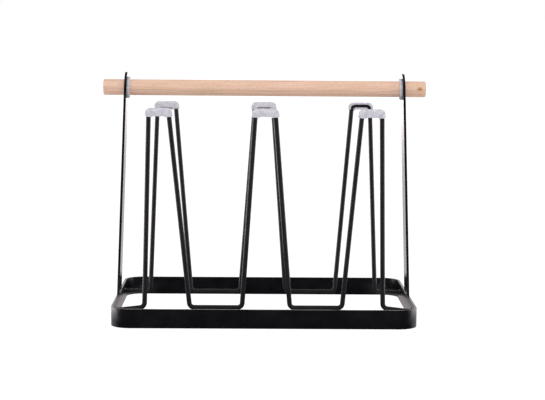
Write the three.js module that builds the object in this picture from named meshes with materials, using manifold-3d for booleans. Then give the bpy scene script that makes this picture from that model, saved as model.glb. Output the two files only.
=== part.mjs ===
// Mug tree: a drying rack for six mugs. A flat-bar hoop stands on edge as the base, two flat
// uprights rise from its short sides and carry a wooden handle, and two rows of bent wire
// make three prongs each, with a silicone cap clipped over every prong.
//
// Frame: millimetres, +Z up, +X along the handle, -Y is the front. The origin is the middle
// of the footprint on the surface that the rack stands on.

import * as THREE from 'three';
import * as BufferGeometryUtils from 'three/addons/utils/BufferGeometryUtils.js';
import Module from 'manifold-3d';

// ---------------------------------------------------------------- driving dimensions

const degrees = Math.PI / 180;

// Base hoop, one flat bar bent on edge and butt-welded at the middle of the back.
const baseLength = 280;
const baseDepth = 187;
const bandHeight = 17.5;
const bandThickness = 2.3;
const cornerRadius = 18;

// Uprights, flat bar with a round head, leaning in from the base. The head's round is centred
// a little above the handle.
const uprightWidth = 26;
const uprightThickness = 2.3;
const uprightLean = 2.05 * degrees;
const headRise = 1.6;

// Handle, a round dowel held in a flanged silicone grommet at each upright.
const handleHeight = 214.4;
const handleDiameter = 15;
const handleOverhang = 20;
const handleChamfer = 0.8;
const grommetWall = 1.2;
const grommetFlangeWidth = 1.2;
const grommetFlangeThickness = 2.6;
const grommetProud = 0.5;
const grommetEdge = 0.5;
const handleClearance = 0.3;

// Prong wire, one bent wire for each row.
const wireDiameter = 4.5;
const footBendInside = 2.35;
const topBendInside = 1.95;
const rowOffset = 45;
const rowLean = 7.7 * degrees;
const runHeight = 10.8;
const prongHeight = 185.8;
const prongPitch = 97;
const prongTopSpacing = 18;
const middleFootSpacing = 44.8;
const innerFootOffset = 71.3;
const outerFootOffset = 111.6;
const endSplay = 8;
const endDrop = 0.6;

// Prong caps, slit silicone channel bent over the top of each prong. Its lips reach past the
// wire and leave a slot between them. Its tail is how much lower it ends than the centres of
// the wire's top bends. Its corners are fuller than those bends: at the middle of a bend its
// outer half stands this share further from the wire.
const capWall = 0.9;
const capLipReach = 1.65;
const capSlotWidth = 2.8;
const capTail = 0.1;
const capFullness = 0.31;

// Welds and the gaps between neighbouring solids.
const weldThroat = 1.2;
const weldProud = 0.4;
const wireWeldFlare = 1.35;
const wireWeldStep = 0.25;
const seatGap = 0.3;

// Foot shift is how far a row's four inner feet sit to the right of even spacing. Slot turns
// are how far each cap has been turned about its wire, from the slot facing down between the
// legs to the slot facing the handle, from the left prong to the right one.
const rows = [
  { name: 'front', turn: 0, footShift: 2, slotTurns: [0, 0, 0] },
  { name: 'back', turn: Math.PI, footShift: 0, slotTurns: [18, 28, 82].map((angle) => angle * degrees) },
];
const prongNames = ['left', 'middle', 'right'];
const sides = [
  { name: 'left', turn: 0 },
  { name: 'right', turn: Math.PI },
];

// Facets.
const cornerSegments = 9;
const headSegments = 20;
const roundSegments = 40;
const wireSides = 12;
const bendSteps = 4;
const capArcSegments = 3;

// ---------------------------------------------------------------- materials

const paintedSteel = { color: 0x17161a, roughness: 0.32, metalness: 0.1 };
const beech = { color: 0xd8b08c, roughness: 0.62, metalness: 0 };
const silicone = { color: 0xdcd9e2, roughness: 0.38, metalness: 0 };

const namedMesh = (name, geometry, finish) => {
  const mesh = new THREE.Mesh(geometry, new THREE.MeshStandardMaterial(finish));
  mesh.name = name;
  return mesh;
};

// ---------------------------------------------------------------- booleans

const wasm = await Module();
wasm.setup();

const toSolid = (geometry) => {
  const bare = geometry.clone();
  bare.deleteAttribute('normal');
  bare.deleteAttribute('uv');
  const merged = BufferGeometryUtils.mergeVertices(bare, 1e-4);
  return new wasm.Manifold(new wasm.Mesh({
    numProp: 3,
    vertProperties: new Float32Array(merged.attributes.position.array),
    triVerts: new Uint32Array(merged.index.array),
  }));
};

const toGeometry = (solid) => {
  const mesh = solid.getMesh();
  const geometry = new THREE.BufferGeometry();
  geometry.setAttribute('position', new THREE.BufferAttribute(mesh.vertProperties, mesh.numProp));
  geometry.setIndex(new THREE.BufferAttribute(mesh.triVerts, 1));
  geometry.computeVertexNormals();
  return geometry;
};

// ---------------------------------------------------------------- swept paths

// A path that is sampled exactly at its stations, so that long straights take one step and
// tight bends take several.
class StationPath extends THREE.Curve {
  constructor(stations) {
    super();
    this.stations = stations;
  }

  getUtoTmapping(u) {
    return u;
  }

  getPoint(t, target = new THREE.Vector3()) {
    const last = this.stations.length - 1;
    const before = Math.min(Math.floor(t * last + 1e-6), last - 1);
    return target.lerpVectors(this.stations[before], this.stations[before + 1], t * last - before);
  }

  getTangent(t, target = new THREE.Vector3()) {
    const last = this.stations.length - 1;
    const here = Math.round(t * last);
    const before = this.stations[Math.max(here - 1, 0)];
    const after = this.stations[Math.min(here + 1, last)];
    return target.subVectors(after, before).normalize();
  }
}

// The bend that rounds a corner of a path, with the radius of its height: tight at the tops,
// wider at the feet.
const wireRadius = wireDiameter / 2;
const topBendRadius = wireRadius + topBendInside;
const footBendRadius = wireRadius + footBendInside;
const capSkirt = topBendRadius + capTail;
const bendAt = (corners, i) => {
  const radius = corners[i].z > prongHeight / 2 ? topBendRadius : footBendRadius;
  const incoming = corners[i].clone().sub(corners[i - 1]).normalize();
  const outgoing = corners[i + 1].clone().sub(corners[i]).normalize();
  const angle = incoming.angleTo(outgoing);
  const inward = outgoing.clone().addScaledVector(incoming, -incoming.dot(outgoing)).normalize();
  const centre = corners[i].clone()
    .addScaledVector(incoming, -radius * Math.tan(angle / 2))
    .addScaledVector(inward, radius);
  return { radius, incoming, inward, angle, centre };
};

// Stations along straight runs between corners, with each corner rounded to its bend.
const bentPath = (corners) => {
  const stations = [corners[0]];
  for (let i = 1; i < corners.length - 1; i += 1) {
    const { radius, incoming, inward, angle, centre } = bendAt(corners, i);
    for (let step = 0; step <= bendSteps; step += 1) {
      const turned = (angle * step) / bendSteps;
      stations.push(centre.clone()
        .addScaledVector(incoming, radius * Math.sin(turned))
        .addScaledVector(inward, -radius * Math.cos(turned)));
    }
  }
  stations.push(corners.at(-1));
  return new StationPath(stations);
};

const sweep = (section, path) => new THREE.ExtrudeGeometry(section, {
  extrudePath: path,
  steps: path.stations.length - 1,
  curveSegments: 1,
});

// ---------------------------------------------------------------- base hoop

const buildBaseBand = () => {
  const x = baseLength / 2 - cornerRadius;
  const y = baseDepth / 2 - cornerRadius;
  const inner = cornerRadius - bandThickness;
  const slit = weldThroat / 2 + seatGap;
  const back = baseDepth / 2;
  const outline = new THREE.Shape();
  outline.moveTo(-slit, back);
  outline.absarc(-x, y, cornerRadius, Math.PI / 2, Math.PI);
  outline.absarc(-x, -y, cornerRadius, Math.PI, 1.5 * Math.PI);
  outline.absarc(x, -y, cornerRadius, 1.5 * Math.PI, 2 * Math.PI);
  outline.absarc(x, y, cornerRadius, 0, Math.PI / 2);
  outline.lineTo(slit, back);
  outline.lineTo(slit, back - bandThickness);
  outline.absarc(x, y, inner, Math.PI / 2, 0, true);
  outline.absarc(x, -y, inner, 2 * Math.PI, 1.5 * Math.PI, true);
  outline.absarc(-x, -y, inner, 1.5 * Math.PI, Math.PI, true);
  outline.absarc(-x, y, inner, Math.PI, Math.PI / 2, true);
  outline.lineTo(-slit, back - bandThickness);
  return namedMesh('base_band', new THREE.ExtrudeGeometry(outline, {
    depth: bandHeight,
    bevelEnabled: false,
    curveSegments: cornerSegments,
  }), paintedSteel);
};

// A low weld bead, ground flush with the bar at X = 0 and crowned on the bar's other side.
const weldStrip = (thickness, length) => {
  const half = weldThroat / 2;
  const section = new THREE.Shape();
  section.moveTo(0, -half);
  section.lineTo(thickness, -half);
  section.quadraticCurveTo(thickness + 2 * weldProud, 0, thickness, half);
  section.lineTo(0, half);
  section.lineTo(0, -half);
  const strip = new THREE.ExtrudeGeometry(section, {
    depth: length,
    bevelEnabled: false,
    curveSegments: 6,
  });
  return strip.translate(0, 0, -length / 2);
};

const buildSeamWeld = () => {
  const strip = weldStrip(bandThickness, bandHeight);
  const weld = namedMesh('base_seam_weld', strip.rotateZ(-Math.PI / 2), paintedSteel);
  weld.position.set(0, baseDepth / 2, bandHeight / 2);
  return weld;
};

// ---------------------------------------------------------------- uprights and grommets

// Both are modelled in the upright's own frame: X is the way into the rack from the outer
// face, Z runs up the bar from its foot.
const footHeight = bandHeight + 2 * seatGap + weldThroat;
const axisAlongUpright = (handleHeight - footHeight + (uprightThickness / 2) * Math.sin(uprightLean))
  / Math.cos(uprightLean);
const grommetBore = handleDiameter / 2 + handleClearance;
const grommetSleeve = grommetBore + grommetWall;
const grommetFlangeRadius = grommetSleeve + grommetFlangeWidth;
const uprightHole = grommetSleeve + seatGap;

const buildUpright = (name) => {
  const half = uprightWidth / 2;
  const outline = new THREE.Shape();
  outline.moveTo(-half, 0);
  outline.lineTo(half, 0);
  outline.absarc(0, axisAlongUpright + headRise, half, 0, Math.PI);
  const hole = new THREE.Path();
  hole.absarc(0, axisAlongUpright, uprightHole, 0, 2 * Math.PI);
  outline.holes.push(hole);
  const plate = new THREE.ExtrudeGeometry(outline, {
    depth: uprightThickness,
    bevelEnabled: false,
    curveSegments: headSegments,
  });
  // The outline was drawn in X and Y: stand it up, with its thickness along X.
  plate.rotateX(Math.PI / 2).rotateZ(Math.PI / 2);
  return namedMesh(name, plate, paintedSteel);
};

const buildGrommet = (name) => {
  const outside = -grommetProud;
  const seat = uprightThickness + seatGap;
  const inside = seat + grommetFlangeThickness;
  const profile = [
    [grommetBore, outside],
    [grommetSleeve, outside],
    [grommetSleeve, seat],
    [grommetFlangeRadius - grommetEdge, seat],
    [grommetFlangeRadius, seat + grommetEdge],
    [grommetFlangeRadius, inside - grommetEdge],
    [grommetFlangeRadius - grommetEdge, inside],
    [grommetBore, inside],
    [grommetBore, outside],
  ].map(([radius, along]) => new THREE.Vector2(radius, along));
  const ring = new THREE.LatheGeometry(profile, roundSegments).rotateZ(-Math.PI / 2);
  const grommet = namedMesh(name, ring, silicone);
  grommet.position.z = axisAlongUpright;
  return grommet;
};

const buildFootWeld = (name) => {
  const strip = weldStrip(uprightThickness, uprightWidth);
  const weld = namedMesh(name, strip.rotateX(Math.PI / 2), paintedSteel);
  weld.position.set(-baseLength / 2, 0, bandHeight + seatGap + weldThroat / 2);
  return weld;
};

const buildSide = ({ name, turn }) => {
  const leaning = new THREE.Group();
  leaning.position.set(-baseLength / 2, 0, footHeight);
  leaning.rotation.y = uprightLean;
  leaning.add(buildUpright(`${name}_upright`));
  leaning.add(buildGrommet(`${name}_grommet`));
  const side = new THREE.Group();
  side.rotation.z = turn;
  side.add(leaning);
  side.add(buildFootWeld(`${name}_foot_weld`));
  return side;
};

// ---------------------------------------------------------------- handle

const buildHandle = () => {
  const radius = handleDiameter / 2;
  const uprightFace = baseLength / 2 - axisAlongUpright * Math.sin(uprightLean);
  const half = uprightFace + handleOverhang;
  const profile = [
    [0, -half],
    [radius - handleChamfer, -half],
    [radius, -half + handleChamfer],
    [radius, half - handleChamfer],
    [radius - handleChamfer, half],
    [0, half],
  ].map(([across, along]) => new THREE.Vector2(across, along));
  const rod = new THREE.LatheGeometry(profile, roundSegments).rotateZ(-Math.PI / 2);
  const handle = namedMesh('handle_dowel', rod, beech);
  handle.position.z = handleHeight;
  return handle;
};

// ---------------------------------------------------------------- prong rows

// A row is modelled upright in its own plane, from its left end to its right one, with Y
// pointing at the handle: the feet are at Z = 0 and the tops at Z = prongHeight.
const bandInside = baseLength / 2 - bandThickness;
const wireReach = bandInside - 2 * seatGap - weldThroat;

const point = (x, y, z) => new THREE.Vector3(x, y, z);

const topCorners = (middle) => [
  point(middle - prongTopSpacing / 2, 0, prongHeight),
  point(middle + prongTopSpacing / 2, 0, prongHeight),
];

const wireCorners = (footShift) => {
  const middleFoot = middleFootSpacing / 2;
  return [
    point(-bandInside, -endSplay, -endDrop),
    point(-outerFootOffset, 0, 0),
    ...topCorners(-prongPitch),
    point(-innerFootOffset + footShift, 0, 0),
    point(-middleFoot + footShift, 0, 0),
    ...topCorners(0),
    point(middleFoot + footShift, 0, 0),
    point(innerFootOffset + footShift, 0, 0),
    ...topCorners(prongPitch),
    point(outerFootOffset, 0, 0),
    point(bandInside, -endSplay, -endDrop),
  ];
};

const buildWire = (name, corners) => {
  const section = new THREE.Shape();
  for (let i = 0; i < wireSides; i += 1) {
    const angle = (2 * Math.PI * i) / wireSides;
    const along = [wireRadius * Math.cos(angle), wireRadius * Math.sin(angle)];
    if (i === 0) section.moveTo(...along);
    else section.lineTo(...along);
  }
  const wire = toSolid(sweep(section, bentPath(corners)));
  // Both ends are cut square, parallel to the side band that they are welded to.
  const room = new THREE.BoxGeometry(2 * wireReach, 4 * baseDepth, 4 * prongHeight);
  return namedMesh(name, toGeometry(wire.intersect(toSolid(room))), paintedSteel);
};

// The cap's section, drawn with its slot opening along +Y and then turned: X points away from
// the handle, and Y into the space between the legs.
const capSection = (slotTurn) => {
  const inner = wireRadius + seatGap;
  const outer = inner + capWall;
  const slot = capSlotWidth / 2;
  const capLip = wireRadius + capLipReach;
  const lipRound = (outer - slot) / 2;
  const mouth = Math.acos(slot / inner);
  const outline = new THREE.Shape();
  outline.moveTo(slot, capLip);
  outline.lineTo(slot, inner * Math.sin(mouth));
  outline.absarc(0, 0, inner, mouth, Math.PI - mouth, true);
  outline.lineTo(-slot, capLip);
  outline.absarc(-slot - lipRound, capLip - lipRound, lipRound, Math.PI / 2, Math.PI);
  outline.absarc(0, 0, outer, Math.PI, 2 * Math.PI);
  outline.absarc(slot + lipRound, capLip - lipRound, lipRound, 0, Math.PI / 2);
  const points = outline.getPoints(capArcSegments);
  return new THREE.Shape(points.map((corner) => corner.rotateAround(new THREE.Vector2(), slotTurn)));
};

// Pushes out what lies beyond the wire's centreline in a bend, most at the bend's middle.
const fillOut = (geometry, { radius, incoming, inward, angle, centre }) => {
  const places = geometry.attributes.position;
  for (let i = 0; i < places.count; i += 1) {
    const place = new THREE.Vector3().fromBufferAttribute(places, i);
    const offset = place.clone().sub(centre);
    const ahead = offset.dot(incoming);
    const outward = -offset.dot(inward);
    const turned = Math.atan2(ahead, outward);
    const reach = Math.hypot(ahead, outward);
    if (turned > 0 && turned < angle && reach > radius) {
      const push = (capFullness * Math.sin((Math.PI * turned) / angle) ** 2 * (reach - radius)) / reach;
      place.addScaledVector(incoming, push * ahead).addScaledVector(inward, -push * outward);
      places.setXYZ(i, place.x, place.y, place.z);
    }
  }
};

// The cap follows its own prong's wire, from just below one bend to just below the other.
const buildCap = (name, rowCorners, prong, slotTurn) => {
  const [leftFoot, leftTop, rightTop, rightFoot] = rowCorners.slice(1 + 4 * prong, 5 + 4 * prong);
  const below = (top, foot) => top.clone().lerp(foot, capSkirt / prongHeight);
  const corners = [below(leftTop, leftFoot), leftTop, rightTop, below(rightTop, rightFoot)];
  const channel = sweep(capSection(slotTurn), bentPath(corners));
  fillOut(channel, bendAt(corners, 1));
  fillOut(channel, bendAt(corners, 2));
  return namedMesh(name, channel, silicone);
};

const buildEndWeld = (name, end) => {
  const half = weldThroat / 2;
  const profile = [
    [0, -half],
    [wireRadius + wireWeldStep, -half],
    [wireRadius + wireWeldFlare, half],
    [0, half],
  ].map(([radius, along]) => new THREE.Vector2(radius, along));
  const bead = new THREE.LatheGeometry(profile, roundSegments / 2).rotateZ(-Math.PI / 2);
  const weld = namedMesh(name, bead, paintedSteel);
  const outward = Math.sign(end.x);
  weld.rotation.z = outward > 0 ? 0 : Math.PI;
  weld.position.set(outward * (bandInside - seatGap - half), end.y, end.z);
  return weld;
};

const buildRow = ({ name, turn, footShift, slotTurns }) => {
  const corners = wireCorners(footShift);
  const leaning = new THREE.Group();
  leaning.position.set(0, -rowOffset, runHeight);
  leaning.rotation.x = rowLean;
  leaning.add(buildWire(`${name}_wire`, corners));
  // The back row is the front row turned round, so its prongs are met from the other end.
  const order = turn === 0 ? prongNames : [...prongNames].reverse();
  order.forEach((prongName, prong) => {
    const slotTurn = slotTurns[prongNames.indexOf(prongName)];
    leaning.add(buildCap(`${name}_${prongName}_cap`, corners, prong, slotTurn));
  });
  leaning.add(buildEndWeld(`${name}_${order[0]}_end_weld`, corners[0]));
  leaning.add(buildEndWeld(`${name}_${order[2]}_end_weld`, corners.at(-1)));
  const row = new THREE.Group();
  row.rotation.z = turn;
  row.add(leaning);
  return row;
};

// ---------------------------------------------------------------- the whole rack

const mugTree = new THREE.Group();
mugTree.add(buildBaseBand());
mugTree.add(buildSeamWeld());
sides.forEach((side) => mugTree.add(buildSide(side)));
mugTree.add(buildHandle());
rows.forEach((row) => mugTree.add(buildRow(row)));

export default mugTree;
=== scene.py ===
"""Looks of a mug rack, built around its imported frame.

A flat-bar hoop stands on edge, two flat uprights lean in from it and hold a beech dowel in
silicone grommets, and two rows of bent wire make six prongs with silicone caps.
"""

import logging
import math
from dataclasses import dataclass, field
from enum import Enum
from typing import Callable, Iterable, Optional, Sequence, Union

import bmesh
import bpy
from bpy.types import Material, NodeSocket, Object, World
from mathutils import Matrix, Vector


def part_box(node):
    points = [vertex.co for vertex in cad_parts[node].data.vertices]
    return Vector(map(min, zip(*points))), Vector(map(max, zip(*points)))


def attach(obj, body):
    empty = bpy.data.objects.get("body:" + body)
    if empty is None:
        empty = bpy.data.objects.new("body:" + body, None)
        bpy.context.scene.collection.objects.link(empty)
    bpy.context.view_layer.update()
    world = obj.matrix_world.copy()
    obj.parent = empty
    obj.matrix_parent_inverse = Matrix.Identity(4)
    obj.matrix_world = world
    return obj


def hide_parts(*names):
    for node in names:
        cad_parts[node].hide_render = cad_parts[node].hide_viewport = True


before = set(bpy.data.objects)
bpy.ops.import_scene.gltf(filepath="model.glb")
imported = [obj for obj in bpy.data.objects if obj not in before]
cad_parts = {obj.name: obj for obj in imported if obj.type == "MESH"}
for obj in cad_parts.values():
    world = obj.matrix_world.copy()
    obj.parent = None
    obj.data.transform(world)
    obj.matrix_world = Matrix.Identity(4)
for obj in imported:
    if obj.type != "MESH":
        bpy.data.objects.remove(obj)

MM = 0.001
LOG = logging.getLogger("mug_rack")
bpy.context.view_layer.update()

Colour = tuple[float, float, float, float]
Points = Sequence[Vector]
Span = tuple[float, float]


class Body(Enum):
    """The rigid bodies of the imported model."""

    FRAME = "frame"
    HANDLE = "handle"


class Slot(Enum):
    """The record's material slots."""

    STEEL = "black_paint"
    RUBBER = "silicone"
    WOOD = "beech"


class Turned(Enum):
    """Copies of a sub-assembly, each with its label and how far it is turned."""

    @property
    def label(self) -> str:
        """The word for it in the names of pieces and nodes."""
        return self.value[0]

    @property
    def turn(self) -> float:
        """The turn about the rack's upright middle line."""
        return self.value[1]


class Side(Turned):
    """The two ends of the rack, turned from the left one."""

    LEFT = ("left", 0.0)
    RIGHT = ("right", math.pi)


class Row(Turned):
    """The two rows of prongs, turned from the front one."""

    FRONT = ("front", 0.0)
    BACK = ("back", math.pi)


# ------------------------------------------------------------------ shader maths


class Signal:
    """A shader socket that can be used in sums, products and quotients."""

    def __init__(self, tree: "Tree", socket: NodeSocket) -> None:
        """Wraps a socket of a tree."""
        self.tree = tree
        self.socket = socket

    def __add__(self, other: "Value") -> "Signal":
        """self + other."""
        return self.tree.math("ADD", self, other)

    def __radd__(self, other: "Value") -> "Signal":
        """other + self."""
        return self.tree.math("ADD", other, self)

    def __sub__(self, other: "Value") -> "Signal":
        """self - other."""
        return self.tree.math("SUBTRACT", self, other)

    def __rsub__(self, other: "Value") -> "Signal":
        """other - self."""
        return self.tree.math("SUBTRACT", other, self)

    def __mul__(self, other: "Value") -> "Signal":
        """self * other."""
        return self.tree.math("MULTIPLY", self, other)

    def __rmul__(self, other: "Value") -> "Signal":
        """other * self."""
        return self.tree.math("MULTIPLY", other, self)

    def __truediv__(self, other: "Value") -> "Signal":
        """self / other."""
        return self.tree.math("DIVIDE", self, other)


Value = Union[Signal, float]


class Tree:
    """A node tree that is written as expressions on its sockets."""

    def __init__(self, owner: Union[Material, World]) -> None:
        """Empties the owner's tree.

        Args:
            owner: The material or world whose tree this is.
        """
        owner.use_nodes = True
        self.tree = owner.node_tree
        self.tree.nodes.clear()

    def node(
        self,
        kind: str,
        settings: Optional[dict] = None,
        inputs: Optional[dict] = None,
        out: Union[int, str, None] = 0,
    ) -> Optional[Signal]:
        """Adds a node.

        Args:
            kind: The node's type.
            settings: Values of the node's own properties.
            inputs: Values or signals of the node's sockets, by name or number.
            out: The output to return, or None for a node that has none.

        Returns:
            The chosen output, if there is one.
        """
        node = self.tree.nodes.new(kind)
        for name, value in (settings or {}).items():
            setattr(node, name, value)
        for name, value in (inputs or {}).items():
            if isinstance(value, Signal):
                self.tree.links.new(value.socket, node.inputs[name])
            else:
                node.inputs[name].default_value = value
        return None if out is None else Signal(self, node.outputs[out])

    def math(self, operation: str, *operands: Value) -> Signal:
        """A Math node on numbers."""
        return self.node("ShaderNodeMath", {"operation": operation}, dict(enumerate(operands)))

    def vector(self, operation: str, *operands: Union[Signal, Sequence[float]], scale: float = 1.0) -> Signal:
        """A Vector Math node whose result is a vector.

        Args:
            operation: The node's operation.
            operands: Its vectors.
            scale: The factor, where the operation is SCALE.

        Returns:
            The resulting vector.
        """
        inputs = dict(enumerate(operands))
        if operation == "SCALE":
            inputs["Scale"] = scale
        return self.node("ShaderNodeVectorMath", {"operation": operation}, inputs)

    def axes(self, vector: Signal) -> tuple[Signal, Signal, Signal]:
        """Takes a vector apart.

        Args:
            vector: The vector.

        Returns:
            Its X, Y and Z.
        """
        x = self.node("ShaderNodeSeparateXYZ", None, {0: vector}, "X")
        outputs = x.socket.node.outputs
        return x, Signal(self, outputs["Y"]), Signal(self, outputs["Z"])

    def step(self, value: Value, low: float, high: float, first: float = 0.0, last: float = 1.0) -> Signal:
        """A smooth step.

        Args:
            value: The value to step on.
            low: Where the step begins.
            high: Where it ends.
            first: The result up to low.
            last: The result from high on.

        Returns:
            The result.
        """
        ends = {"From Min": low, "From Max": high, "To Min": first, "To Max": last}
        return self.node("ShaderNodeMapRange", {"interpolation_type": "SMOOTHSTEP"}, {"Value": value, **ends})

    def blend(self, share: Value, first: Value, second: Value) -> Signal:
        """A blend of two numbers, all the first one where share is 0."""
        return self.node("ShaderNodeMix", {"data_type": "FLOAT"}, {0: share, 2: first, 3: second})

    def mix(self, share: Value, first: Union[Signal, Colour], second: Union[Signal, Colour]) -> Signal:
        """A blend of two colours, all the first one where share is 0."""
        settings = {"data_type": "RGBA"}
        return self.node("ShaderNodeMix", settings, {0: share, 6: first, 7: second}, 2)

    def lead_out(self, surface: Signal, kind: str = "ShaderNodeOutputMaterial") -> None:
        """Leads a surface shader to the tree's output."""
        self.node(kind, None, {"Surface": surface}, None)


class Shader(Tree):
    """The node tree of one finish, in millimetres of the rack's own frame."""

    def __init__(self, name: str) -> None:
        """Makes an empty material.

        Args:
            name: The material's name.
        """
        self.material = bpy.data.materials.new(name)
        super().__init__(self.material)
        place = self.node("ShaderNodeTexCoord", out="Object")
        self.place = self.vector("SCALE", place, scale=1 / MM)

    def noise(self, scale: float, stretch: Sequence[float] = (1, 1, 1), detail: float = 2.0) -> Signal:
        """Noise over the piece.

        Args:
            scale: Waves in a millimetre.
            stretch: How much faster the noise runs along each axis.
            detail: Octaves added to the first.

        Returns:
            A value around 0.5.
        """
        place = self.vector("MULTIPLY", self.place, stretch)
        return self.node("ShaderNodeTexNoise", None, {"Vector": place, "Scale": scale, "Detail": detail})

    def bump(self, height: Value, depth: float) -> Signal:
        """A normal that leans with a height.

        Args:
            height: The height, from 0 to 1.
            depth: How far apart 0 and 1 are, in metres.

        Returns:
            The leaning normal.
        """
        inputs = {"Height": height, "Distance": depth, "Strength": 1.0}
        return self.node("ShaderNodeBump", None, inputs, "Normal")

    def finish(self, **sockets: Union[Signal, float, Colour]) -> Material:
        """Ends the tree in one surface shader.

        Args:
            sockets: The shader's sockets, with an underscore for each space.

        Returns:
            The finished material.
        """
        named = {name.replace("_", " "): value for name, value in sockets.items()}
        self.lead_out(self.node("ShaderNodeBsdfPrincipled", None, named))
        return self.material


# ------------------------------------------------------------------ finishes


@dataclass(frozen=True)
class SatinCoat:
    """Black powder coat on steel: a faint orange peel, uneven gloss and a little dust."""

    name: str = "satin_black_coat"
    tone: Colour = (0.0042, 0.0038, 0.0054, 1)
    thin_tone: Colour = (0.0085, 0.0075, 0.0100, 1)
    dust: Colour = (0.030, 0.027, 0.034, 1)
    gloss: float = 0.26
    gloss_spread: float = 0.06
    specular: float = 0.50
    peel_pitch: float = 1.1
    peel_depth: float = 0.004 * MM
    cloud_pitch: float = 20.0
    grain_rate: float = 1.1
    dust_pitch: float = 8.0
    dust_size: float = 0.04
    dust_share: float = 0.6
    dust_dulling: float = 0.15

    def material(self) -> Material:
        """Builds the finish.

        Returns:
            The finished material.
        """
        shader = Shader(self.name)
        cloudy = shader.step(shader.noise(1 / self.cloud_pitch, detail=3), 0.35, 0.7)
        grainy = shader.noise(self.grain_rate, detail=1)
        peel = shader.noise(1 / self.peel_pitch, detail=1)
        motes = shader.node(
            "ShaderNodeTexVoronoi",
            None,
            {"Vector": shader.place, "Scale": 1 / self.dust_pitch},
            "Distance",
        )
        dusty = (1 - shader.step(motes, self.dust_size / 2, self.dust_size)) * self.dust_share
        colour = shader.mix(cloudy, self.tone, self.thin_tone)
        colour = shader.mix(dusty, colour, self.dust)
        rough = self.gloss + self.gloss_spread * (grainy - 0.5) + dusty * self.dust_dulling
        return shader.finish(
            Base_Color=colour,
            Roughness=rough,
            Specular_IOR_Level=self.specular,
            Normal=shader.bump(peel, self.peel_depth),
        )


@dataclass(frozen=True)
class SheenPaintedWireCoat(SatinCoat):
    """The same coat on wire, duller, with a lighter tone that is painted sheen for the broad grey light along
    the wire.
    """

    name: str = "black_wire_coat_with_painted_sheen"
    # Both tones are lighter than the coat's own: painted sheen, standing in for the grey light on the wire's
    # flanks.
    tone: Colour = (0.0150, 0.0130, 0.0165, 1)
    thin_tone: Colour = (0.0200, 0.0175, 0.0220, 1)
    gloss: float = 0.44
    specular: float = 0.34


@dataclass(frozen=True)
class Beech:
    """Sanded beech: pinkish tan with long fine grain, short dark rays, end grain and one knot."""

    handle_middle: Vector
    handle_half: float
    pale: Colour = (0.84, 0.580, 0.440, 1)
    tan: Colour = (0.76, 0.495, 0.355, 1)
    rose: Colour = (0.81, 0.515, 0.390, 1)
    ray: Colour = (0.33, 0.175, 0.095, 1)
    knot: Colour = (0.16, 0.075, 0.030, 1)
    knot_halo: Colour = (0.60, 0.27, 0.085, 1)
    end: Colour = (0.58, 0.36, 0.22, 1)
    knot_inset: float = 6.0
    knot_size: tuple[float, float] = (2.3, 1.6)
    knot_share: float = 0.85
    knot_halo_share: float = 0.55
    pith: Span = (16.0, -9.0)
    ring_pitch: float = 2.6
    ring_drift: float = 9.0
    ring_share: float = 0.22
    ray_share: float = 0.38
    grain_depth: float = 0.03 * MM

    @property
    def half(self) -> float:
        """Half the handle's length in millimetres."""
        return self.handle_half / MM

    def material(self) -> Material:
        """Builds the finish.

        Returns:
            The finished material.
        """
        shader = Shader("sanded_beech")
        middle = [value / MM for value in self.handle_middle]
        along, across, up = shader.axes(shader.vector("SUBTRACT", shader.place, middle))
        broad = shader.step(shader.noise(0.02, (1, 2, 2), detail=2), 0.35, 0.65)
        streaks = shader.noise(0.9, (0.035, 1, 1), detail=4)
        fibres = shader.noise(3.5, (0.05, 1, 1), detail=2)
        colour = shader.mix(broad, self.tan, self.rose)
        colour = shader.mix(shader.step(streaks, 0.40, 0.68), colour, self.pale)

        rings = self._rings(shader, across, up)
        colour = shader.mix(rings * self.ring_share, colour, self.ray)
        rays = shader.step(shader.noise(1.5, (0.22, 1, 1), detail=1), 0.62, 0.70)
        colour = shader.mix(rays * self.ray_share, colour, self.ray)

        end_wood = shader.step(shader.math("ABSOLUTE", along), self.half - 0.7, self.half - 0.1)
        colour = shader.mix(end_wood * (0.55 + 0.35 * rings), colour, self.end)
        colour = self._with_knot(shader, colour, along, across, up)

        height = fibres * 0.6 + rays * -0.5
        return shader.finish(
            Base_Color=colour,
            Roughness=0.52 + 0.16 * fibres,
            Specular_IOR_Level=0.35,
            Normal=shader.bump(height, self.grain_depth),
        )

    def _rings(self, shader: Shader, across: Signal, up: Signal) -> Signal:
        """Year rings around a pith that lies well outside the dowel.

        Args:
            shader: The tree to build in.
            across: The place across the handle.
            up: The place above its axis.

        Returns:
            1 on a ring's dark line and 0 between two.
        """
        drift = (shader.noise(0.05, (0.15, 1, 1), detail=2) - 0.5) * self.ring_drift
        east, north = across - self.pith[0], up - self.pith[1]
        squared = east * east + north * north
        radius = shader.math("SQRT", squared) + drift
        wave = shader.math("SINE", radius * (2 * math.pi / self.ring_pitch))
        return shader.step(wave, 0.35, 1.0)

    def _with_knot(
        self, shader: Shader, colour: Signal, along: Signal, across: Signal, up: Signal
    ) -> Signal:
        """Adds a small pin knot near the right end of the handle's front.

        Args:
            shader: The tree to build in.
            colour: The wood's colour without the knot.
            along: The place along the handle.
            across: The place across it.
            up: The place above its axis.

        Returns:
            The colour with the knot.
        """
        length, height = self.knot_size
        east = (along - (self.half - self.knot_inset)) / length
        north = (up - 0.3) / height
        distance = shader.math("SQRT", east * east + north * north)
        distance = distance + (shader.noise(0.9, detail=2) - 0.5) * 1.1
        front = 1 - shader.step(across, -1.0, 0.0)
        halo = shader.step(distance, 0.3, 0.8) * (1 - shader.step(distance, 1.0, 1.7))
        colour = shader.mix(halo * front * self.knot_halo_share, colour, self.knot_halo)
        core = 1 - shader.step(distance, 0.35, 0.85)
        return shader.mix(core * front * self.knot_share, colour, self.knot)


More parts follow.
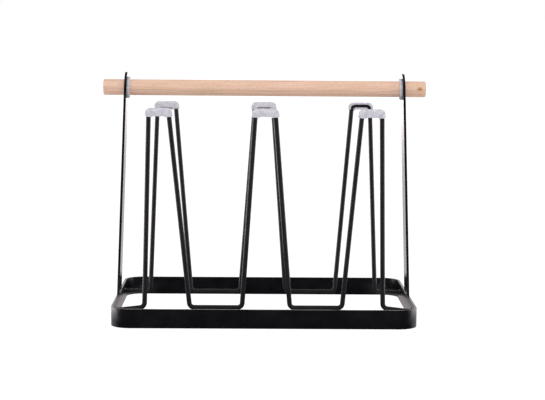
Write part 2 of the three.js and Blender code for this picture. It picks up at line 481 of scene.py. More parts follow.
@dataclass(frozen=True)
class MilkySilicone:
    """Translucent silicone with a cloudy body and a soft, slightly uneven skin."""

    clear: Colour = (0.77, 0.75, 0.81, 1)
    cloudy: Colour = (0.62, 0.60, 0.68, 1)
    opacity: float = 0.86
    cloud_pitch: float = 3.6
    skin_depth: float = 0.05 * MM

    def material(self) -> Material:
        """Builds the finish.

        Returns:
            The finished material.
        """
        shader = Shader("milky_silicone")
        clouds = shader.noise(1 / self.cloud_pitch, detail=3)
        skin = shader.noise(1.3, detail=2)
        share = shader.step(clouds, 0.36, 0.66)
        return shader.finish(
            Base_Color=shader.mix(share, self.clear, self.cloudy),
            Roughness=0.34 + 0.14 * skin,
            Alpha=self.opacity + 0.08 * (clouds - 0.5),
            Specular_IOR_Level=0.4,
            Subsurface_Weight=0.35,
            Subsurface_Radius=(1.0, 0.9, 1.0),
            Subsurface_Scale=1.2 * MM,
            Normal=shader.bump(skin, self.skin_depth),
        )


@dataclass
class Finishes:
    """Every finish of the rack, built once."""

    coat: Material
    sheen_painted_wire_coat: Material
    wood: Material
    rubber: Material


# ------------------------------------------------------------------ the workbench


class Bench:
    """Modelling steps that several pieces share. Edit steps act on the active mesh."""

    @staticmethod
    def clear() -> None:
        """Deselects every object."""
        bpy.ops.object.select_all(action="DESELECT")

    @staticmethod
    def name(name: str) -> Object:
        """Names the active object and its mesh.

        Args:
            name: The name of both.

        Returns:
            The active object.
        """
        piece = bpy.context.object
        piece.name = name
        piece.data.name = name
        return piece

    @staticmethod
    def edit() -> None:
        """Opens the active mesh for editing, with nothing selected."""
        bpy.ops.object.mode_set(mode="EDIT")
        bpy.ops.mesh.select_all(action="DESELECT")

    @staticmethod
    def leave() -> None:
        """Closes the active mesh."""
        bpy.ops.object.mode_set(mode="OBJECT")

    @staticmethod
    def select_faces(wanted: Callable[[bmesh.types.BMFace], bool]) -> None:
        """Selects only the faces that pass a test.

        Args:
            wanted: The test.
        """
        bpy.ops.mesh.select_mode(type="FACE")
        bpy.ops.mesh.select_all(action="DESELECT")
        mesh = bpy.context.object.data
        for face in bmesh.from_edit_mesh(mesh).faces:
            if wanted(face):
                face.select_set(True)
        bmesh.update_edit_mesh(mesh)

    @staticmethod
    def select_edges(wanted: Callable[[bmesh.types.BMEdge], bool]) -> None:
        """Selects only the edges that pass a test.

        Args:
            wanted: The test.
        """
        bpy.ops.mesh.select_mode(type="EDGE")
        bpy.ops.mesh.select_all(action="DESELECT")
        mesh = bpy.context.object.data
        for edge in bmesh.from_edit_mesh(mesh).edges:
            if wanted(edge):
                edge.select_set(True)
        bmesh.update_edit_mesh(mesh)

    @staticmethod
    def select_points(wanted: Callable[[Vector], bool]) -> None:
        """Selects only the vertices whose place passes a test.

        Args:
            wanted: The test.
        """
        bpy.ops.mesh.select_mode(type="VERT")
        bpy.ops.mesh.select_all(action="DESELECT")
        mesh = bpy.context.object.data
        for point in bmesh.from_edit_mesh(mesh).verts:
            if wanted(point.co):
                point.select_set(True)
        bmesh.update_edit_mesh(mesh)

    @staticmethod
    def outline(points: Points, fill: bool) -> None:
        """Draws a closed outline by pulling one vertex from point to point.

        Args:
            points: The outline's corners, in order.
            fill: Whether the outline gets a face.
        """
        Bench.clear()
        bpy.ops.mesh.primitive_plane_add(size=MM)
        bpy.ops.object.mode_set(mode="EDIT")
        bpy.ops.mesh.select_mode(type="VERT")
        bpy.ops.mesh.select_all(action="SELECT")
        bpy.ops.mesh.merge(type="CENTER")
        bpy.ops.transform.translate(value=points[0])
        for before, here in zip(points, points[1:]):
            bpy.ops.mesh.extrude_vertices_move(TRANSFORM_OT_translate={"value": here - before})
        bpy.ops.mesh.select_all(action="SELECT")
        bpy.ops.mesh.edge_face_add()
        if not fill:
            bpy.ops.mesh.delete(type="ONLY_FACE")
            bpy.ops.mesh.select_all(action="SELECT")

    @staticmethod
    def feed(step: Vector) -> None:
        """Pushes the selected section on by a straight step."""
        bpy.ops.mesh.extrude_region_move(TRANSFORM_OT_translate={"value": step})

    @staticmethod
    def follow(corners: Points, radii: Sequence[float], steps: int) -> None:
        """Feeds and bends the selected section along a path, as a wire is bent.

        Args:
            corners: The path's ends and, between them, its sharp corners.
            radii: The bend radius at each sharp corner.
            steps: Facets in each bend.
        """
        used = 0.0
        for index, radius in enumerate(radii, start=1):
            bend = Bend(*corners[index - 1 : index + 2], radius)
            Bench.feed(bend.incoming * (bend.run - used - bend.tangent))
            bpy.ops.mesh.spin(steps=steps, angle=bend.angle, center=bend.centre, axis=bend.axis)
            used = bend.tangent
        last = corners[-1] - corners[-2]
        Bench.feed(last.normalized() * (last.length - used))

    @staticmethod
    def fill_out(bend: "Bend", steps: int, share: float) -> None:
        """Makes a swept channel's corner fuller, most at the bend's middle.

        Args:
            bend: The bend.
            steps: Facets in it.
            share: How much further the outer half stands at the middle.
        """
        for step in range(1, steps):
            along = step / steps
            middle, tangent, outward = bend.frame(along)

            def on_outer_half(point: Vector) -> bool:
                """Tests for this ring's half that lies outside the bend.

                Args:
                    point: The vertex's place.

                Returns:
                    True if the vertex is a part of it.
                """
                offset = point - middle
                near = offset.length < 2 * bend.radius and abs(offset.dot(tangent)) < MM / 100
                return near and offset.dot(outward) > MM / 100

            Bench.select_points(on_outer_half)
            factor = 1 + share * math.sin(math.pi * along) ** 2
            bpy.ops.transform.resize(value=(factor, 1, factor), center_override=middle)

    @staticmethod
    def turn_full(centre: Vector, axis: Vector, steps: int) -> None:
        """Spins the selected outline all the way round an axis."""
        bpy.ops.mesh.spin(steps=steps, angle=2 * math.pi, center=centre, axis=axis)

    @staticmethod
    def close() -> None:
        """Merges doubles, turns every face outwards and closes the mesh."""
        bpy.ops.mesh.select_all(action="SELECT")
        bpy.ops.mesh.remove_doubles(threshold=MM / 1000)
        bpy.ops.mesh.normals_make_consistent(inside=False)
        Bench.leave()

    @staticmethod
    def soften(width: float, segments: int = 3, angle: float = 40.0) -> None:
        """Rounds the active object's sharp edges.

        Args:
            width: The width of the rounding.
            segments: Facets across it.
            angle: The angle in degrees from which an edge is sharp.
        """
        modifier = bpy.context.object.modifiers.new("soften", "BEVEL")
        modifier.width = width
        modifier.segments = segments
        modifier.limit_method = "ANGLE"
        modifier.angle_limit = math.radians(angle)
        bpy.ops.object.modifier_apply(modifier=modifier.name)

    @staticmethod
    def smooth(angle: float = 35.0) -> None:
        """Shades the active object smooth, apart from its sharp edges."""
        bpy.ops.object.shade_smooth_by_angle(angle=math.radians(angle))

    @staticmethod
    def seat(place: Matrix) -> None:
        """Moves the active object's mesh to its place, with the object at the origin."""
        bpy.context.object.matrix_world = place
        bpy.ops.object.transform_apply(location=True, rotation=True, scale=True)


@dataclass
class Bend:
    """A bend that rounds the corner between two straight runs of a path."""

    before: Vector
    corner: Vector
    after: Vector
    radius: float

    def __post_init__(self) -> None:
        """Finds the bend's directions, angle, tangent length and centre."""
        self.run = (self.corner - self.before).length
        self.incoming = (self.corner - self.before).normalized()
        outgoing = (self.after - self.corner).normalized()
        self.angle = self.incoming.angle(outgoing)
        self.tangent = self.radius * math.tan(self.angle / 2)
        self.inward = (outgoing - self.incoming * self.incoming.dot(outgoing)).normalized()
        self.centre = self.corner - self.incoming * self.tangent + self.inward * self.radius
        # The spin operator turns against the right-hand rule.
        self.axis = outgoing.cross(self.incoming).normalized()

    def frame(self, share: float) -> tuple[Vector, Vector, Vector]:
        """Finds where the path is within the bend.

        Args:
            share: The share of the bend that lies behind.

        Returns:
            The path's point, its direction and the way out of the bend.
        """
        turned = self.angle * share
        tangent = self.incoming * math.cos(turned) + self.inward * math.sin(turned)
        outward = self.incoming * math.sin(turned) - self.inward * math.cos(turned)
        return self.centre + outward * self.radius, tangent, outward


def arc(middle: tuple[float, float], radius: float, start: float, end: float, steps: int) -> list[tuple]:
    """Points on an arc.

    Args:
        middle: The arc's centre.
        radius: Its radius.
        start: The first angle in radians.
        end: The last angle in radians.
        steps: Chords between the first and last points.

    Returns:
        The points, both ends included.
    """
    angles = (start + (end - start) * step / steps for step in range(steps + 1))
    return [(middle[0] + radius * math.cos(a), middle[1] + radius * math.sin(a)) for a in angles]


def dress(piece: Object, finish: Material, body: Body, nodes: Iterable[str]) -> None:
    """Gives a finished piece its material, its body and the CAD nodes it stands for.

    Args:
        piece: The piece.
        finish: Its material.
        body: The body it moves with.
        nodes: The CAD nodes that it replaces.
    """
    piece.data.materials.clear()
    piece.data.materials.append(finish)
    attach(piece, body.value)
    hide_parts(*nodes)
    LOG.info("%s: %d faces, stands for %s", piece.name, len(piece.data.polygons), ", ".join(nodes))


# ------------------------------------------------------------------ weld beads


@dataclass
class StripBead:
    """A straight weld bead laid in short overlapping ripples."""

    length: float
    width: float
    height: float
    ripple: float = 1.3 * MM
    ripple_depth: float = 0.10
    arc_steps: int = 10
    end_size: float = 0.45
    end_rise: float = 5.0

    def build(self, name: str, place: Matrix) -> Object:
        """Builds the bead, lying along X with its crown along Z.

        Args:
            name: The piece's name.
            place: Where the bead's middle goes.

        Returns:
            The bead, at its place.
        """
        crown = arc((0, 0), 1, 0, math.pi, self.arc_steps)
        section = [Vector((0, x * self.width / 2, z * self.height)) for x, z in crown]
        Bench.outline(section, fill=True)
        bpy.ops.transform.translate(value=(-self.length / 2, 0, 0))
        count = max(2, round(self.length / self.ripple)) * 2
        sizes = [self._size(step / count, step) for step in range(count + 1)]
        middle = Vector((-self.length / 2, 0, 0))
        self._resize(sizes[0], middle)
        for before, size in zip(sizes, sizes[1:]):
            step = Vector((self.length / count, 0, 0))
            Bench.feed(step)
            middle += step
            self._resize(size / before, middle)
        Bench.close()
        Bench.smooth(60)
        piece = Bench.name(name)
        Bench.seat(place)
        return piece

    def _size(self, share: float, step: int) -> float:
        """The section's size at a share of the length, with both ends tapered."""
        taper = min(1.0, self.end_rise * min(share, 1 - share) + self.end_size)
        return taper * (1 - self.ripple_depth * (step % 2))

    @staticmethod
    def _resize(factor: float, middle: Vector) -> None:
        """Scales the selected section about a point of the bead's root."""
        bpy.ops.transform.resize(value=(1, factor, factor), center_override=middle)


@dataclass
class RingBead:
    """A fillet weld around a wire that butts against a flat bar."""

    wire_radius: float
    reach: float
    spread: float
    steps: int = 36
    arc_steps: int = 6
    hollow: float = 0.8
    unevenness: float = 0.07 * MM

    def build(self, name: str, place: Matrix) -> Object:
        """Builds the bead around the X axis, with its broad face at X = 0 and its toe at -X.

        Args:
            name: The piece's name.
            place: Where the broad face's middle goes.

        Returns:
            The bead, at its place.
        """
        inner = self.wire_radius * 0.9
        centre = Vector((-self.reach, 0, self.wire_radius + self.spread))
        quarter = arc((0, 0), self.hollow, -math.pi / 2, 0, self.arc_steps)
        curve = [centre + Vector((x * self.reach, 0, z * self.spread)) for x, z in quarter]
        root = [Vector((0.1 * MM, 0, self.wire_radius + self.spread)), Vector((0.1 * MM, 0, inner))]
        toe = [Vector((-self.reach, 0, inner))]
        Bench.outline(toe + curve + root, fill=False)
        Bench.turn_full(Vector((0, 0, 0)), Vector((1, 0, 0)), self.steps)
        bpy.ops.mesh.select_all(action="SELECT")
        bpy.ops.mesh.remove_doubles(threshold=MM / 1000)
        radius = self.wire_radius + 0.2 * MM
        Bench.select_points(lambda point: math.hypot(point.y, point.z) > radius and point.x < 0)
        bpy.ops.transform.vertex_random(offset=self.unevenness, seed=7)
        Bench.close()
        Bench.smooth(60)
        piece = Bench.name(name)
        Bench.seat(place)
        return piece


# ------------------------------------------------------------------ the hoop


@dataclass
class BaseHoop:
    """The flat bar bent into a hoop on edge, with the bead that closes it."""

    finishes: Finishes
    thickness: float = 2.3 * MM
    corner_radius: float = 18 * MM
    edge_radius: float = 0.28 * MM
    corner_steps: int = 20
    seam_width: float = 2.6 * MM
    seam_height: float = 0.4 * MM
    low: Vector = field(default_factory=lambda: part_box("base_band")[0])
    high: Vector = field(default_factory=lambda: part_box("base_band")[1])

    def build(self) -> None:
        """Builds the hoop and its seam."""
        self._hoop()
        self._seam()

    def _hoop(self) -> None:
        """A block with rounded corners, opened at both ends and given a wall inwards."""
        size = self.high - self.low
        Bench.clear()
        bpy.ops.mesh.primitive_cube_add(size=1, location=(self.low + self.high) / 2, scale=size)
        bpy.ops.object.transform_apply(location=True, rotation=True, scale=True)
        Bench.edit()
        Bench.select_edges(lambda edge: abs((edge.verts[0].co - edge.verts[1].co).z) > size.z / 2)
        bpy.ops.mesh.bevel(offset=self.corner_radius, segments=self.corner_steps, affect="EDGES")
        Bench.select_faces(lambda face: abs(face.normal.z) > 0.9)
        bpy.ops.mesh.delete(type="FACE")
        Bench.close()
        wall = bpy.context.object.modifiers.new("wall", "SOLIDIFY")
        wall.thickness = self.thickness
        wall.offset = -1
        wall.use_even_offset = True
        bpy.ops.object.modifier_apply(modifier=wall.name)
        Bench.soften(self.edge_radius)
        Bench.smooth()
        hoop = Bench.name("hoop")
        dress(hoop, self.finishes.coat, Body.FRAME, ["base_band"])

    def _seam(self) -> None:
        """The bead up the inside of the joint, in the middle of the back."""
        inside = Vector((0, self.high.y - self.thickness, (self.low.z + self.high.z) / 2))
        upright = Matrix.Rotation(-math.pi / 2, 4, "Y")
        inward = Matrix.Rotation(math.pi / 2, 4, "Z")
        length = self.high.z - self.low.z - 2 * self.edge_radius
        bead = StripBead(length, self.seam_width, self.seam_height)
        piece = bead.build("hoop_seam", Matrix.Translation(inside) @ inward @ upright)
        dress(piece, self.finishes.coat, Body.FRAME, ["base_seam_weld"])


# ------------------------------------------------------------------ uprights and grommets


@dataclass
class Upright:
    """One flat upright with a round head, its foot weld and the grommet in its hole."""

    finishes: Finishes
    side: Side
    width: float = 26 * MM
    thickness: float = 2.3 * MM
    lean: float = math.radians(2.05)
    head_rise: float = 1.6 * MM
    edge_radius: float = 0.45 * MM
    hole_radius: float = 9.0 * MM
    bore_radius: float = 7.6 * MM
    flange_radius: float = 10.2 * MM
    flange_thickness: float = 2.8 * MM
    flange_round: float = 1.0 * MM
    lip_thickness: float = 0.5 * MM
    ring_ease: float = 0.25 * MM
    sleeve_gap: float = 0.05 * MM
    bead_size: float = 2.2 * MM
    bead_rise: float = 0.36
    bead_inset: float = 1.5 * MM
    head_steps: int = 96
    ring_steps: int = 72

    def __post_init__(self) -> None:
        """Takes the axis and the foot from the frame."""
        low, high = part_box("handle_dowel")
        self.axis_height = (low.z + high.z) / 2
        self.base_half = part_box("base_band")[1].x
        self.foot_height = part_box("base_band")[1].z
        rise = self.axis_height - self.foot_height + self.thickness / 2 * math.sin(self.lean)
        self.axis_up = rise / math.cos(self.lean)

    @property
    def place(self) -> Matrix:
        """Finds where the upright stands.

        Returns:
            The way from its own frame, with X into the rack, to its place.
        """
        turned = Matrix.Rotation(self.side.turn, 4, "Z")
        foot = Matrix.Translation((-self.base_half, 0, self.foot_height))
        return turned @ foot @ Matrix.Rotation(self.lean, 4, "Y")

    def build(self) -> None:
        """Builds the plate, the foot weld and the grommet."""
        self._plate()
        self._foot_bead()
        self._grommet()

    def _plate(self) -> None:
        """A disc with a hole, whose lower half is pulled down to the foot."""
        radius = self.width / 2
        centre = Vector((self.thickness / 2, 0, self.axis_up))
        Bench.clear()
        bpy.ops.mesh.primitive_cylinder_add(
            vertices=self.head_steps, radius=radius, depth=self.thickness, rotation=(0, math.pi / 2, 0)
        )
        bpy.ops.object.transform_apply(location=True, rotation=True, scale=True)
        Bench.edit()
        Bench.select_faces(lambda face: abs(face.normal.x) > 0.9)
        bpy.ops.mesh.inset(thickness=radius - self.hole_radius, depth=0)
        bpy.ops.mesh.bridge_edge_loops()

        def under_rim(face: bmesh.types.BMFace) -> bool:
            """Tests for the rim's lower half.

            Args:
                face: The face.

            Returns:
                True if the face is a part of it.
            """
            middle = face.calc_center_median()
            on_rim = math.hypot(middle.y, middle.z) > (radius + self.hole_radius) / 2
            return on_rim and abs(face.normal.x) < 0.1 and middle.z < 0

        def over_rim(point: Vector) -> bool:
            """True on the rim's upper half."""
            return point.z > -MM / 100 and math.hypot(point.y, point.z) > (radius + self.hole_radius) / 2

        Bench.select_points(over_rim)
        bpy.ops.transform.translate(value=(0, 0, self.head_rise))
        Bench.select_faces(under_rim)
        Bench.feed(Vector((0, 0, -self.axis_up)))
        bpy.ops.transform.resize(value=(1, 1, 0), center_override=(0, 0, -self.axis_up))
        Bench.close()
        Bench.soften(self.edge_radius)
        Bench.smooth()
        plate = Bench.name(f"{self.side.label}_strap")
        Bench.seat(self.place @ Matrix.Translation(centre))
        node = f"{self.side.label}_upright"
        dress(plate, self.finishes.coat, Body.FRAME, [node])

    def _foot_bead(self) -> None:
        """The bead in the corner between the upright and the hoop's top edge."""
        corner = Vector((self.thickness, 0, 0))
        bead = StripBead(self.width - self.bead_inset, self.bead_size, self.bead_size * self.bead_rise)
        across = Matrix.Rotation(math.pi / 2, 4, "Z") @ Matrix.Rotation(math.pi / 2, 4, "X")
        place = self.place @ Matrix.Translation(corner) @ across
        piece = bead.build(f"{self.side.label}_foot_bead", place)
        node = f"{self.side.label}_foot_weld"
        dress(piece, self.finishes.coat, Body.FRAME, [node])

    def _grommet(self) -> None:
        """A turned ring: a sleeve through the hole and a rounded flange inside the upright."""
        outside = -self.lip_thickness
        seat = self.thickness
        inside = seat + self.flange_thickness
        soft = self.flange_round
        small = self.ring_ease
        sleeve = self.hole_radius - self.sleeve_gap
        flange = self.flange_radius
        profile = [
            *arc((outside + small, self.bore_radius + small), small, 1.5 * math.pi, math.pi, 3),
            *arc((outside + small, sleeve - small), small, math.pi, math.pi / 2, 3),
            (seat, sleeve),
            *arc((seat + small, flange - small), small, math.pi, math.pi / 2, 3),
            *arc((inside - soft, flange - soft), soft, math.pi / 2, 0, 8),
            *arc((inside - small, self.bore_radius + small), small, 0, -math.pi / 2, 3),
        ]
        Bench.outline([Vector((x, 0, r)) for x, r in profile], fill=False)
        Bench.turn_full(Vector((0, 0, 0)), Vector((1, 0, 0)), self.ring_steps)
        Bench.close()
        Bench.smooth()
        ring = Bench.name(f"{self.side.label}_ring")
        Bench.seat(self.place @ Matrix.Translation((0, 0, self.axis_up)))
        node = f"{self.side.label}_grommet"
        dress(ring, self.finishes.rubber, Body.FRAME, [node])


# ------------------------------------------------------------------ the handle


@dataclass
class Handle:
    """The beech dowel, with eased ends."""

    finishes: Finishes
    ease: float = 0.9 * MM
    ease_steps: int = 4
    dish: float = 0.12 * MM
    dish_rims: Span = (0.45, 0.25)
    sides: int = 96
    low: Vector = field(default_factory=lambda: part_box("handle_dowel")[0])
    high: Vector = field(default_factory=lambda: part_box("handle_dowel")[1])

    def build(self) -> None:
        """Turns the dowel, eases its rims and dishes its end faces a little."""
        radius = (self.high.z - self.low.z) / 2
        half = (self.high.x - self.low.x) / 2
        Bench.clear()
        bpy.ops.mesh.primitive_cylinder_add(
            vertices=self.sides, radius=radius, depth=2 * half, rotation=(0, math.pi / 2, 0)
        )
        bpy.ops.object.transform_apply(location=True, rotation=True, scale=True)
        Bench.edit()
        Bench.select_edges(lambda edge: abs(edge.verts[0].co.x - edge.verts[1].co.x) < half)
        bpy.ops.mesh.bevel(offset=self.ease, segments=self.ease_steps, affect="EDGES")
        for end in (-1, 1):
            Bench.select_faces(lambda face: face.normal.x * end > 0.99)
            bpy.ops.mesh.inset(thickness=radius * self.dish_rims[0], depth=-self.dish)
            bpy.ops.mesh.inset(thickness=radius * self.dish_rims[1], depth=-self.dish / 3)
        Bench.close()
        Bench.smooth()
        dowel = Bench.name("beech_dowel")
        Bench.seat(Matrix.Translation((self.low + self.high) / 2))
        dress(dowel, self.finishes.wood, Body.HANDLE, ["handle_dowel"])


# ------------------------------------------------------------------ the prongs


@dataclass
class CapSection:
    """The cap's section: a wall round the wire whose two lips leave a slot."""

    wire_radius: float
    clearance: float = 0.25 * MM
    wall: float = 0.95 * MM
    lip_reach: float = 1.65 * MM
    slot_width: float = 2.8 * MM
    wall_steps: int = 20
    lip_steps: int = 5

    def points(self, slot_turn: float) -> list[tuple[float, float]]:
        """The closed outline.

        Args:
            slot_turn: How far the slot is turned from facing between the legs.

        Returns:
            Points, X away from the handle and Y in between the legs.
        """
        inner = self.wire_radius + self.clearance
        outer = inner + self.wall
        half = self.slot_width / 2
        lip = self.wire_radius + self.lip_reach
        rounding = (outer - half) / 2
        mouth = math.acos(half / inner)
        outline = [
            *arc((0, 0), inner, mouth, -math.pi - mouth, self.wall_steps),
            *arc((-half - rounding, lip - rounding), rounding, 0, math.pi, self.lip_steps),
            *arc((0, 0), outer, math.pi, 2 * math.pi, self.wall_steps),
            *arc((half + rounding, lip - rounding), rounding, 0, math.pi, self.lip_steps),
        ]
        cos, sin = math.cos(slot_turn), math.sin(slot_turn)
        return [(x * cos - y * sin, x * sin + y * cos) for x, y in outline]


@dataclass
class ProngRow:
    """One row: a single wire bent into three prongs, its end welds and its three caps."""

    finishes: Finishes
    row: Row
    slot_turns: dict[str, float]
    foot_shift: float
    wire_diameter: float = 4.5 * MM
    foot_inside: float = 2.35 * MM
    top_inside: float = 1.95 * MM
    row_offset: float = 45 * MM
    row_lean: float = math.radians(7.7)
    run_height: float = 10.8 * MM
    prong_height: float = 185.8 * MM
    prong_pitch: float = 97 * MM
    top_spacing: float = 18 * MM
    middle_foot_spacing: float = 44.8 * MM
    inner_foot: float = 71.3 * MM
    outer_foot: float = 111.6 * MM
    end_splay: float = 8 * MM
    end_drop: float = 0.6 * MM
    band_thickness: float = 2.3 * MM
    cap_skirt: float = 4.3 * MM
    cap_edge: float = 0.28 * MM
    cap_fullness: float = 0.31
    bead_reach: float = 1.5 * MM
    sides: int = 24
    bend_steps: int = 10

    def __post_init__(self) -> None:
        """Takes the hoop's inner face from the frame."""
        self.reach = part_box("base_band")[1].x - self.band_thickness
        self.radius = self.wire_diameter / 2

    @property
    def place(self) -> Matrix:
        """Finds where the row stands.

        Returns:
            The way from its own frame, upright with Y at the handle, to its place.
        """
        turned = Matrix.Rotation(self.row.turn, 4, "Z")
        stood = Matrix.Translation((0, -self.row_offset, self.run_height))
        return turned @ stood @ Matrix.Rotation(self.row_lean, 4, "X")

    @property
    def corners(self) -> list[Vector]:
        """Lays out the wire's path.

        Returns:
            Its ends and its sharp corners, from left to right.
        """
        foot = self.middle_foot_spacing / 2
        return [
            Vector((-self.reach, -self.end_splay, -self.end_drop)),
            Vector((-self.outer_foot, 0, 0)),
            *self._top(-self.prong_pitch),
            Vector((-self.inner_foot + self.foot_shift, 0, 0)),
            Vector((-foot + self.foot_shift, 0, 0)),
            *self._top(0),
            Vector((foot + self.foot_shift, 0, 0)),
            Vector((self.inner_foot + self.foot_shift, 0, 0)),
            *self._top(self.prong_pitch),
            Vector((self.outer_foot, 0, 0)),
            Vector((self.reach, -self.end_splay, -self.end_drop)),
        ]

    def _top(self, middle: float) -> list[Vector]:
        """A prong's two top corners."""
        half = self.top_spacing / 2
        return [Vector((middle + x, 0, self.prong_height)) for x in (-half, half)]

    def build(self) -> None:
        """Builds the wire, its end welds and the caps."""
        self._wire()
        names = ["left", "middle", "right"]
        if self.row is Row.BACK:
            names.reverse()
        for prong, name in enumerate(names):
            self._cap(name, self.corners[1 + 4 * prong : 5 + 4 * prong])
        self._end_bead(names[0], -1)
        self._end_bead(names[-1], 1)

    def _wire(self) -> None:
        """A round section fed along the path and spun round each bend."""
        corners = self.corners
        first = corners[1] - corners[0]
        Bench.clear()
        bpy.ops.mesh.primitive_circle_add(
            vertices=self.sides,
            radius=self.radius,
            fill_type="NGON",
            location=corners[0],
            rotation=first.to_track_quat("Z", "Y").to_euler(),
        )
        bpy.ops.object.transform_apply(location=True, rotation=True, scale=True)
        bpy.ops.object.mode_set(mode="EDIT")
        bpy.ops.mesh.select_mode(type="FACE")
        bpy.ops.mesh.select_all(action="SELECT")
        radii = [self._bend_radius(corner) for corner in corners[1:-1]]
        Bench.follow(corners, radii, self.bend_steps)
        Bench.close()
        Bench.smooth()
        wire = Bench.name(f"{self.row.label}_prongs")
        Bench.seat(self.place)
        dress(wire, self.finishes.sheen_painted_wire_coat, Body.FRAME, [f"{self.row.label}_wire"])

    def _bend_radius(self, corner: Vector) -> float:
        """The bend radius at a corner: tight at the tops, wider at the feet."""
        inside = self.top_inside if corner.z > self.prong_height / 2 else self.foot_inside
        return self.radius + inside

    def _cap(self, name: str, corners: Points) -> None:
        """A slit channel fed over a prong's two top bends.

        Args:
            name: The prong's name.
            corners: The prong's left foot, two tops and right foot.
        """
        left_foot, left_top, right_top, right_foot = corners
        share = self.cap_skirt / self.prong_height
        path = [
            left_top.lerp(left_foot, share),
            left_top,
            right_top,
            right_top.lerp(right_foot, share),
        ]
        upward = (path[1] - path[0]).normalized()
        across = (path[2] - path[1]).normalized()
        inward = (across - upward * upward.dot(across)).normalized()
        away = Vector((0, -1, 0))
        section = CapSection(self.radius).points(self.slot_turns[name])
        Bench.outline([path[0] + away * x + inward * y for x, y in section], fill=True)
        radius = self.radius + self.top_inside
        Bench.follow(path, [radius, radius], self.bend_steps)
        for index in (1, 2):
            bend = Bend(*path[index - 1 : index + 2], radius)
            Bench.fill_out(bend, self.bend_steps, self.cap_fullness)
        Bench.close()
        Bench.soften(self.cap_edge, segments=2, angle=50)
        Bench.smooth()
        cap = Bench.name(f"{self.row.label}_{name}_sleeve")
        Bench.seat(self.place)
        node = f"{self.row.label}_{name}_cap"
        dress(cap, self.finishes.rubber, Body.FRAME, [node])

    def _end_bead(self, name: str, outward: int) -> None:
        """The fillet weld where a wire end meets the hoop.

        Args:
            name: The side's name.
            outward: 1 at the path's end with positive X, -1 at the other.
        """
        end = Vector((outward * self.reach, -self.end_splay, -self.end_drop))
        turn = Matrix.Rotation(0 if outward > 0 else math.pi, 4, "Z")
        bead = RingBead(self.radius, reach=self.bead_reach, spread=self.bead_reach)
        place = self.place @ Matrix.Translation(end) @ turn
        piece = bead.build(f"{self.row.label}_{name}_end_bead", place)
        node = f"{self.row.label}_{name}_end_weld"
        dress(piece, self.finishes.coat, Body.FRAME, [node])


# ------------------------------------------------------------------ the studio


@dataclass
class Floor:
    """A wide white floor that keeps only a trace of shadow.

    In reflections it is dark in front of the rack, so that the black coat stays black, and
    light behind it, beside it and along the inside of the hoop's short sides. A span is where
    one of these begins and where it is full, in millimetres from the middle.
    """

    dark: float
    glow: float
    size: float = 60.0
    white: Colour = (0.88, 0.88, 0.88, 1)
    blush: Colour = (1.0, 0.93, 0.955, 1)
    shown: float = 1.12
    shown_share: float = 0.9
    strip_span: Span = (104, 130)
    strip_end_span: Span = (85, 92)
    strip_glow: float = 0.6
    beside_span: Span = (142, 190)
    beside_start_span: Span = (-125, -80)
    left_gain: float = 1.35
    far_span: Span = (215, 330)
    far_gain: float = 3.6
    behind_span: Span = (110, 160)

    def build(self) -> None:
        """Lays the floor and gives it its finish."""
        Bench.clear()
        bpy.ops.mesh.primitive_plane_add(size=self.size)
        floor = Bench.name("floor")
        floor.data.materials.append(self._finish())

    def _finish(self) -> Material:
        """White to the camera, and the light of the studio to reflections.

        Returns:
            The finished material.
        """
        shader = Shader("white_floor")
        strength = self._light(shader) * self.glow + self.dark
        matte = shader.node("ShaderNodeBsdfDiffuse", None, {"Color": self.white})
        seen = shader.node("ShaderNodeEmission", None, {"Color": (1, 1, 1, 1), "Strength": self.shown})
        mirrored = shader.node("ShaderNodeEmission", None, {"Color": self.blush, "Strength": strength})
        camera = shader.node("ShaderNodeLightPath", out="Is Camera Ray")
        glossy = shader.node("ShaderNodeLightPath", out="Is Glossy Ray")
        surface = shader.node("ShaderNodeMixShader", None, {0: glossy, 1: matte, 2: mirrored})
        shares = {0: camera * self.shown_share, 1: surface, 2: seen}
        shader.lead_out(shader.node("ShaderNodeMixShader", None, shares))
        return shader.material

    def _light(self, shader: Shader) -> Signal:
        """Where the floor is light in reflections.

        Args:
            shader: The tree to build in.

        Returns:
            0 where it is dark and 1 where it is light.
        """
        x, y, _ = shader.axes(shader.place)
        aside = shader.math("ABSOLUTE", x)
        inside = 1 - shader.step(shader.math("ABSOLUTE", y), *self.strip_end_span)
        strips = shader.step(aside, *self.strip_span) * inside * self.strip_glow
        beside = shader.step(aside, *self.beside_span) * shader.step(y, *self.beside_start_span)
        beside = beside * shader.step(x, -1, 1, self.left_gain, 1.0)
        beside = beside * shader.step(aside, *self.far_span, 1.0, self.far_gain)
        behind = shader.step(y, *self.behind_span)
        return shader.math("MAXIMUM", strips, shader.math("MAXIMUM", beside, behind))


@dataclass
class Sky:
    """Soft white all round, with light sides and a dark front in reflections.

    A span is where one of these begins and where it is full, as a share of the way's length.
    """

    dark: float
    glow: float
    overhead: float = 0.18
    left_glow: float = 2.8
    right_glow: float = 2.2
    ambient: float = 0.8
    side_span: Span = (-0.1, 0.1)
    rear_span: Span = (0.2, 0.6)
    front_span: Span = (-0.55, -0.15)
    overhead_span: Span = (0.25, 0.75)

    def build(self) -> None:
        """Makes the world."""
        world = bpy.data.worlds.new("studio")
        bpy.context.scene.world = world
        tree = Tree(world)
        across, depth, up = tree.axes(tree.node("ShaderNodeTexCoord", out="Generated"))
        side = tree.step(across, *self.side_span, self.left_glow, self.right_glow)
        rear = tree.blend(tree.step(depth, *self.rear_span), side, self.glow)
        low_light = tree.blend(tree.step(depth, *self.front_span), self.dark, rear)
        mirrored = tree.blend(tree.step(up, *self.overhead_span), low_light, self.overhead)
        glossy = tree.node("ShaderNodeLightPath", out="Is Glossy Ray")
        camera = tree.node("ShaderNodeLightPath", out="Is Camera Ray")
        strength = tree.blend(camera, tree.blend(glossy, self.ambient, mirrored), 1.0)
        sky = tree.node("ShaderNodeBackground", None, {"Color": (1, 1, 1, 1), "Strength": strength})
        tree.lead_out(sky, "ShaderNodeOutputWorld")


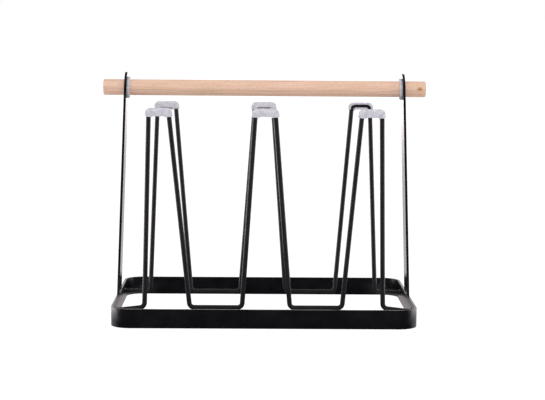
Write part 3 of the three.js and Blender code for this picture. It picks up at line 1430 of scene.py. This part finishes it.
@dataclass
class SoftBox:
    """A large soft light that is aimed at the rack and not seen in reflections."""

    name: str
    place: Vector
    size: float
    power: float
    target: Vector = field(default_factory=lambda: Vector((0, 0, 0.12)))

    def build(self) -> None:
        """Hangs the light."""
        data = bpy.data.lights.new(self.name, "AREA")
        data.shape = "SQUARE"
        data.size = self.size
        data.energy = self.power
        lamp = bpy.data.objects.new(self.name, data)
        lamp.location = self.place
        lamp.rotation_euler = (self.target - self.place).to_track_quat("-Z", "Y").to_euler()
        lamp.visible_glossy = False
        bpy.context.scene.collection.objects.link(lamp)


@dataclass
class Studio:
    """A plain white floor, soft light from all round and above, and the camera."""

    camera_place: Vector = field(default_factory=lambda: Vector((-16.66, -1437.2, 264.3)) * MM)
    yaw: float = math.radians(0.990)
    pitch: float = math.radians(6.231)
    roll: float = math.radians(0.46)
    lens: float = 99.51
    sensor: float = 36.0
    view_reach: float = 200.0
    dark: float = 0.03
    glow: float = 1.05

    def build(self) -> None:
        """Sets the stage."""
        self._camera()
        Floor(self.dark, self.glow).build()
        Sky(self.dark, self.glow).build()
        SoftBox("top_box", Vector((0, -0.7, 1.7)), size=1.6, power=7.0).build()
        SoftBox("front_box", Vector((0.4, -2.4, 0.9)), size=1.4, power=6.0).build()
        bpy.context.scene.view_settings.view_transform = "Standard"

    def _camera(self) -> None:
        """The camera, a little above the rack and turned down to it."""
        data = bpy.data.cameras.new("camera")
        data.sensor_width = self.sensor
        data.lens = self.lens
        data.clip_end = self.view_reach
        camera = bpy.data.objects.new("camera", data)
        bpy.context.scene.collection.objects.link(camera)
        camera.matrix_world = (
            Matrix.Translation(self.camera_place)
            @ Matrix.Rotation(-self.yaw, 4, "Z")
            @ Matrix.Rotation(math.pi / 2 - self.pitch, 4, "X")
            @ Matrix.Rotation(self.roll, 4, "Z")
        )
        bpy.context.scene.camera = camera


def main() -> None:
    """Builds the studio and the rack, piece by piece."""
    logging.basicConfig(level=logging.INFO, format="%(name)s: %(message)s")
    Studio().build()
    low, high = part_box("handle_dowel")
    wood = Beech(handle_middle=(low + high) / 2, handle_half=(high.x - low.x) / 2)
    # The wire's coat is the black coat with a lighter tone as painted sheen.
    coats = SatinCoat().material(), SheenPaintedWireCoat().material()
    finishes = Finishes(*coats, wood.material(), MilkySilicone().material())
    BaseHoop(finishes).build()
    for side in Side:
        Upright(finishes, side).build()
    Handle(finishes).build()
    # How far each cap's slot is turned, in degrees, and how far the inner feet are shifted.
    rows = {
        Row.FRONT: ({"left": 0, "middle": 0, "right": 0}, 2 * MM),
        Row.BACK: ({"left": 18, "middle": 28, "right": 82}, 0),
    }
    for row, (turns, foot_shift) in rows.items():
        radians = {name: math.radians(turn) for name, turn in turns.items()}
        ProngRow(finishes, row, radians, foot_shift).build()


if __name__ == "__main__":
    main()
